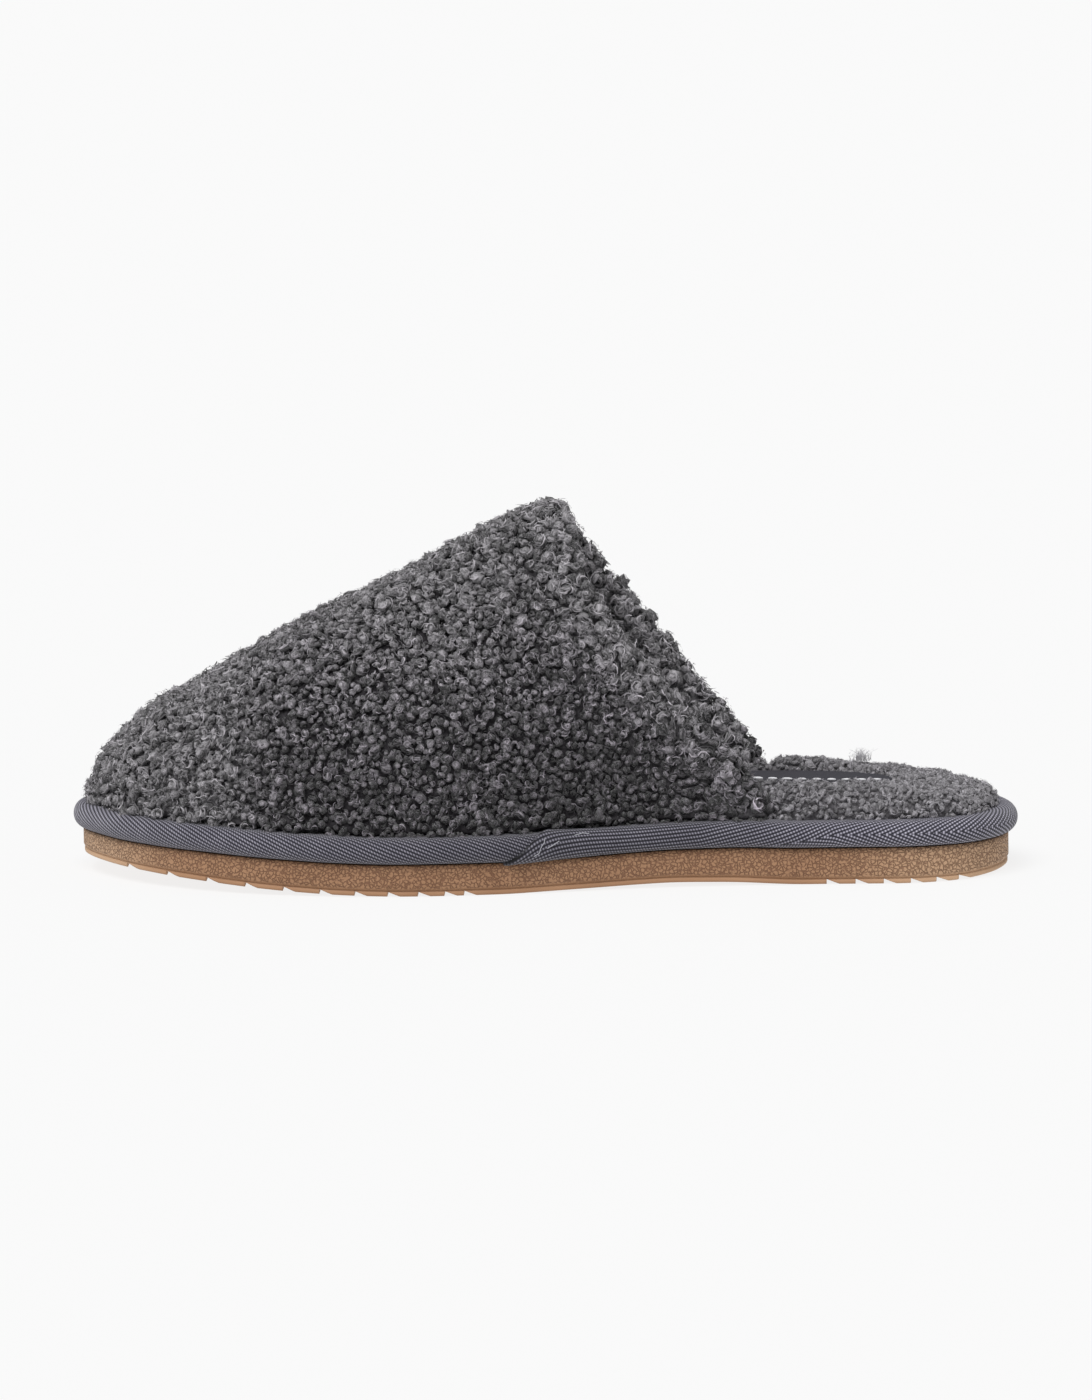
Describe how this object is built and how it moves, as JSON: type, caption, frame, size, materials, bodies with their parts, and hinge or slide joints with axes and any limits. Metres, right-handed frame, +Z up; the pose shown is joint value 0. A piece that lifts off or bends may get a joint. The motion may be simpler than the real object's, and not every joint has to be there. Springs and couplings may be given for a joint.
{
  "type": "scuff slipper",
  "caption": "Backless closed-toe house slipper with a curly pile upper, a pile sock, a taped platform edge and a gum rubber sole with cross lugs.",
  "frame": {"origin": "on the floor under the middle of the slipper's bounding box", "axes": "+X from toe to heel, +Y towards the inner side of the foot, +Z up"},
  "size_m": [0.2848, 0.1028, 0.1094],
  "materials": {
    "gum_rubber": "moulded gum rubber, satin, with a fine wrinkled grain on its side wall",
    "binding_tape": "slate ribbed twill tape, slight sheen",
    "sock_pile": "grey curly pile, flatter than the upper",
    "label_cloth": "plain dark fabric patch with a light running stitch",
    "upper_pile": "charcoal grey curly pile of small tight loops"
  },
  "bodies": {
    "root": {"outsole": "gum_rubber", "binding": "binding_tape", "insole": "sock_pile", "sock_label": "label_cloth", "upper": "upper_pile"}
  },
  "joints": []
}
